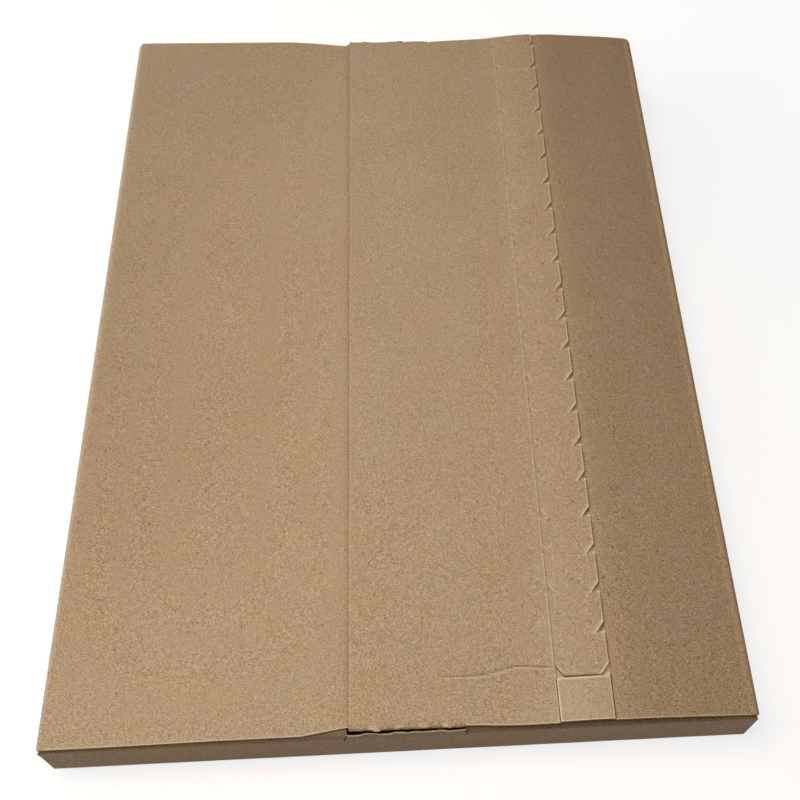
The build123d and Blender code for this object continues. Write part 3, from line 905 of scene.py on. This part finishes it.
def board_material():
    """Recycled kraft board: grain, faint hue patches, stray fibres and dark specks, and a washboard bump.

    The grain weakens from the near end to the far one. The tone attribute lightens cut and rubbed edges and
    paints highlights and light, and darkens cuts and paints shade and shadows. The flute attribute runs
    across the flutes in metres, so the washboard follows the sheet round its folds.
    """
    material = bpy.data.materials.get(SKIN)
    if material:
        return material
    values = settings()
    material = bpy.data.materials.new(SKIN)
    shader = Shader(material)
    place = shader.add("ShaderNodeTexCoord").outputs["Object"]
    tone, flute = [
        shader.add("ShaderNodeAttribute", attribute_name=name).outputs["Fac"] for name in ("tone", "flute")
    ]
    fine = shader.noise(place, 2300, 1, 0.6)
    grain = shader.noise(place, 700, 3, 0.7)
    cloud = shader.noise(place, 22)
    layers = ((fine, values.grain_strength), (grain, values.grain_strength * 0.3), (cloud, 0.02))
    shade = -sum(strength for _, strength in layers) / 2
    for layer, strength in layers:
        shade = shader.math("ADD", shade, shader.math("MULTIPLY", layer, strength))
    shade = shader.math("MAXIMUM", shade, -0.7)
    y = shader.add("ShaderNodeSeparateXYZ", {"Vector": place}).outputs["Y"]
    fading = shader.math("MULTIPLY", shader.ramp(y, -0.2, 0.2), 0.4)
    shade = shader.math("MULTIPLY", shade, shader.math("SUBTRACT", 1.15, fading))
    colour = shader.shift(values.kraft_color, values.speckle_color, shade)
    hue = shader.math("SUBTRACT", shader.noise(place, 70), 0.5)
    colour = shader.shift(colour, (0.03, 0.0, -0.03), hue)

    # Stray fibres and dark specks: spots round the middles of rare cells, drawn out along one line. A row has
    # the seed, turn, colour, cells per metre, scale along that line, reach and strength
    fibre = (420.0, 0.28, 0.16, 1.0)
    spots = (
        (3.0, 0.6, values.fleck_color, *fibre),
        (7.0, -0.9, values.edge_and_highlight_color, *fibre),
        (11.0, 2.2, values.fleck_color, *fibre),
        (5.0, 0.3, values.fleck_color, 290.0, 0.7, 0.17, 1.7),
    )
    for seed, turn, fleck, scale, stretch, reach, strength in spots:
        inputs = {"Location": (seed, seed, 0), "Rotation": (0, 0, turn), "Scale": (1, stretch, 1)}
        mapped = shader.add("ShaderNodeMapping", {"Vector": place, **inputs})
        inputs = {"Vector": mapped.outputs[0], "Scale": scale, "Randomness": 1.0}
        cells = shader.add("ShaderNodeTexVoronoi", inputs, feature="F1").outputs
        spot = shader.math("SUBTRACT", 1.0, shader.ramp(cells["Distance"], reach / 3, reach))
        pick = shader.add("ShaderNodeSeparateColor", {"Color": cells["Color"]}).outputs[0]
        factor = shader.math("MULTIPLY", spot, shader.math("GREATER_THAN", pick, 0.86))
        factor = shader.math("MULTIPLY", factor, values.fleck_strength * strength)
        colour = shader.mix(factor, colour, (*fleck, 1))

    # Positive tone mixes in the edge colour, for pale cut and rubbed edges and for painted highlights and
    # light; negative tone mixes in the dark colour, for the insides of cuts and for painted shade and shadows
    for sign, paint in ((1.0, values.edge_and_highlight_color), (-1.0, values.gap_and_painted_shade_color)):
        factor = shader.math("MAXIMUM", shader.math("MULTIPLY", tone, sign), 0.0)
        colour = shader.mix(factor, colour, (*paint, 1))

    turn = shader.math("MULTIPLY", flute, 2 * math.pi / values.flute_pitch)
    wave = shader.math("MULTIPLY", shader.math("SINE", turn), shader.ramp(cloud, 0.35, 0.65))
    wave = shader.math("MULTIPLY", wave, values.washboard)
    height = shader.math("ADD", wave, shader.math("MULTIPLY", grain, 0.00005))
    bump = shader.add("ShaderNodeBump", {"Strength": 1.0, "Distance": 1.0, "Height": height})
    rough = shader.math("ADD", shader.math("MULTIPLY", grain, 0.16), 0.58)
    skin = shader.add(
        "ShaderNodeBsdfPrincipled",
        {"Base Color": colour, "Roughness": rough, "Normal": bump.outputs[0], "Specular IOR Level": 0.28},
    )
    shader.add("ShaderNodeOutputMaterial", {"Surface": skin.outputs[0]})
    return material


def paper_material():
    """Pale floor that keeps the carton's shadow; camera, glossy and transmission rays see it whiter.

    The whitening grows with the distance from the middle, as the lamps' light fades.
    """
    material = bpy.data.materials.new("pale_floor")
    shader = Shader(material)
    matte = shader.add("ShaderNodeBsdfDiffuse", {"Color": (0.42, 0.36, 0.28, 1)})
    place = shader.add("ShaderNodeTexCoord").outputs["Object"]
    away = shader.add("ShaderNodeVectorMath", {0: place}, operation="LENGTH").outputs["Value"]
    strength = shader.math("ADD", shader.math("MULTIPLY", shader.ramp(away, 0.3, 1.5), 0.24), 0.76)
    strength = shader.math("MULTIPLY", shader.seen(), strength)
    glow = shader.add("ShaderNodeEmission", {"Color": (0.97, 1, 1.05, 1), "Strength": strength})
    both = shader.add("ShaderNodeAddShader", {0: matte.outputs[0], 1: glow.outputs[0]})
    shader.add("ShaderNodeOutputMaterial", {"Surface": both.outputs[0]})
    return material


def make_floor():
    """Level floor disc: circles of points whose radius grows from the middle outwards."""
    angles = np.linspace(0, 2 * math.pi, FLOOR_POINTS, endpoint=False)
    radii = np.array((0.4, 1.2, 3.0, 8.0))
    points = np.zeros((1 + len(radii) * FLOOR_POINTS, 3))
    points[1:, 0] = np.outer(radii, np.cos(angles)).ravel()
    points[1:, 1] = np.outer(radii, np.sin(angles)).ravel()
    points[:, 2] = -0.0002
    rings = np.arange(1, len(points)).reshape(len(radii), -1)
    after = np.roll(rings, -1, axis=1)
    faces = np.stack([0 * after[0], rings[0], after[0]], axis=-1).tolist()
    faces += np.stack([rings[:-1], rings[1:], after[1:], after[:-1]], axis=-1).reshape(-1, 4).tolist()
    mesh = bpy.data.meshes.new("floor")
    mesh.from_pydata(points.tolist(), [], faces)
    mesh.materials.append(paper_material())
    floor = bpy.data.objects.new("floor", mesh)
    bpy.context.scene.collection.objects.link(floor)


def make_world(strength):
    """Even surroundings: white to the camera, and a low pale light on the object."""
    world = bpy.data.worlds.new("studio")
    shader = Shader(world)
    seen = shader.seen()
    level = shader.math("ADD", shader.math("MULTIPLY", seen, 1 - strength), strength)
    colour = shader.mix(seen, (1, 0.92, 0.8, 1), (1, 1, 1, 1))
    back = shader.add("ShaderNodeBackground", {"Color": colour, "Strength": level})
    shader.add("ShaderNodeOutputWorld", {"Surface": back.outputs[0]})
    bpy.context.scene.world = world


def make_lamp(name, target, azimuth, elevation, distance, size, power, colour):
    """Square soft lamp that faces a point; azimuth is from +Y towards +X, in degrees."""
    around, up = math.radians(azimuth), math.radians(elevation)
    towards = Vector((math.sin(around) * math.cos(up), math.cos(around) * math.cos(up), math.sin(up)))
    lamp = bpy.data.lights.new(name, "AREA")
    lamp.shape = "SQUARE"
    lamp.size = size
    lamp.energy = power
    lamp.color = colour
    holder = bpy.data.objects.new(name, lamp)
    holder.location = Vector(target) + towards * distance
    holder.rotation_euler = (-towards).to_track_quat("-Z", "Y").to_euler()
    bpy.context.scene.collection.objects.link(holder)


def make_camera():
    """Camera that the photograph was solved for: its place, its turned axes, its lens and its shift."""
    camera = bpy.data.cameras.new("view")
    camera.lens = 49.736
    camera.sensor_width = 36.0
    camera.shift_x = -0.0896
    camera.shift_y = -0.0578
    holder = bpy.data.objects.new("view", camera)
    turn = np.array((2.571821, -0.059271, 0.075789))
    angle = np.linalg.norm(turn)
    turned = Matrix.Rotation(-angle, 4, Vector(turn / angle)) @ Matrix.Diagonal((1, -1, -1, 1))
    holder.matrix_world = Matrix.Translation((0.0011, -0.3352, 0.5241)) @ turned
    bpy.context.scene.collection.objects.link(holder)
    bpy.context.scene.camera = holder


class CartonSettings(bpy.types.PropertyGroup):
    """Sizes and colours of the carton's looks."""

    flute_pitch: bpy.props.FloatProperty(
        name="Flute pitch", description="Distance from one flute to the next", default=0.0033, unit="LENGTH"
    )
    washboard: bpy.props.FloatProperty(
        name="Washboard", description="Height of the waves that the flutes leave in the liner",
        default=0.000012, unit="LENGTH",
    )
    panel_sag: bpy.props.FloatProperty(
        name="Panel sag", description="How far the middle of the left-hand lid panel hangs down",
        default=0.0012, unit="LENGTH",
    )
    ridge_lift: bpy.props.FloatProperty(
        name="Ridge lift", description="Rise of the outer lid under the right-hand zipper line",
        default=0.0035, unit="LENGTH",
    )
    grain_strength: bpy.props.FloatProperty(
        name="Grain strength", description="Contrast of the finest grain of the board", default=2.5
    )
    fleck_strength: bpy.props.FloatProperty(
        name="Fleck strength", description="How strongly stray fibres show", default=0.55, subtype="FACTOR"
    )
    kraft_color: bpy.props.FloatVectorProperty(
        name="Kraft", description="Colour of the board's faces",
        default=(0.451, 0.303, 0.183), subtype="COLOR",
    )
    speckle_color: bpy.props.FloatVectorProperty(
        name="Speckle", description="Colour that the grain adds or takes",
        default=(0.38, 0.31, 0.285), subtype="COLOR",
    )
    # The edge colour is also the colour of painted highlights and painted light
    edge_and_highlight_color: bpy.props.FloatVectorProperty(
        name="Edge", description="Colour of cut and rubbed edges", default=(0.8, 0.64, 0.47), subtype="COLOR"
    )
    fleck_color: bpy.props.FloatVectorProperty(
        name="Fleck", description="Colour of dark stray fibres", default=(0.13, 0.07, 0.035), subtype="COLOR"
    )
    # The gap colour is also the colour of painted shade and painted shadows
    gap_and_painted_shade_color: bpy.props.FloatVectorProperty(
        name="Gap", description="Colour inside cuts and recesses",
        default=(0.06, 0.03, 0.015), subtype="COLOR",
    )


class CARTON_OT_lids(bpy.types.Operator):
    """Builds the inner and the outer lid, each with its side wall and half the base"""

    bl_idname = "carton.lids"
    bl_label = "Lids and side walls"

    def execute(self, context):
        make_inner_lid()
        make_outer_lid()
        make_right_wall()
        return {"FINISHED"}


class CARTON_OT_ends(bpy.types.Operator):
    """Builds both end walls with their inner flaps and slots"""

    bl_idname = "carton.ends"
    bl_label = "End walls and flaps"

    def execute(self, context):
        make_end("near_end", -1, 31, 0.0)
        make_end("far_end", 1, 41, 0.6)
        return {"FINISHED"}


class CARTON_OT_tuck_tabs(bpy.types.Operator):
    """Builds the two tuck tabs of the outer lid"""

    bl_idname = "carton.tuck_tabs"
    bl_label = "Tuck tabs"

    def execute(self, context):
        make_tuck_tab("near_tuck_tab", -1, 51)
        make_tuck_tab("far_tuck_tab", 1, 61)
        return {"FINISHED"}


class CARTON_OT_stage(bpy.types.Operator):
    """Sets the pale floor, the soft lamps, the surroundings and the camera"""

    bl_idname = "carton.stage"
    bl_label = "Stage, lamps and camera"

    def execute(self, context):
        make_floor()
        make_world(0.06)
        make_lamp("window", (0, 0, 0.034), -90, 14, 1.6, 0.6, 13, (0.8, 0.92, 1.0))
        make_lamp("sky", (0, 0, 0.034), -45, 22, 1.6, 0.8, 9, (0.76, 0.9, 1.0))
        make_lamp("ceiling", (-0.04, -0.25, 0.034), -45, 79, 0.8, 0.5, 4.3, (1.0, 0.92, 0.76))
        make_camera()
        context.scene.view_settings.view_transform = "Standard"
        return {"FINISHED"}


class CARTON_PT_sidebar(bpy.types.Panel):
    """Sidebar panel that lists the carton's settings and steps"""

    bl_label = "Carton"
    bl_idname = "CARTON_PT_sidebar"
    bl_space_type = "VIEW_3D"
    bl_region_type = "UI"
    bl_category = "Carton"

    def draw(self, context):
        for name in CartonSettings.__annotations__:
            self.layout.prop(context.scene.carton, name)
        for step in OPERATORS:
            self.layout.operator(step.bl_idname)


OPERATORS = (CARTON_OT_lids, CARTON_OT_ends, CARTON_OT_tuck_tabs, CARTON_OT_stage)
CLASSES = (CartonSettings, *OPERATORS, CARTON_PT_sidebar)


def register():
    """Registers the classes and hangs the settings on the scene."""
    for item in CLASSES:
        bpy.utils.register_class(item)
    bpy.types.Scene.carton = bpy.props.PointerProperty(type=CartonSettings)


def unregister():
    """Takes the settings and the classes away again."""
    del bpy.types.Scene.carton
    for item in reversed(CLASSES):
        bpy.utils.unregister_class(item)


def main():
    """Builds the pieces and the stage."""
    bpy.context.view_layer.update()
    register()
    bpy.ops.carton.lids()
    bpy.ops.carton.ends()
    bpy.ops.carton.tuck_tabs()
    bpy.ops.carton.stage()


if __name__ == "__main__":
    main()
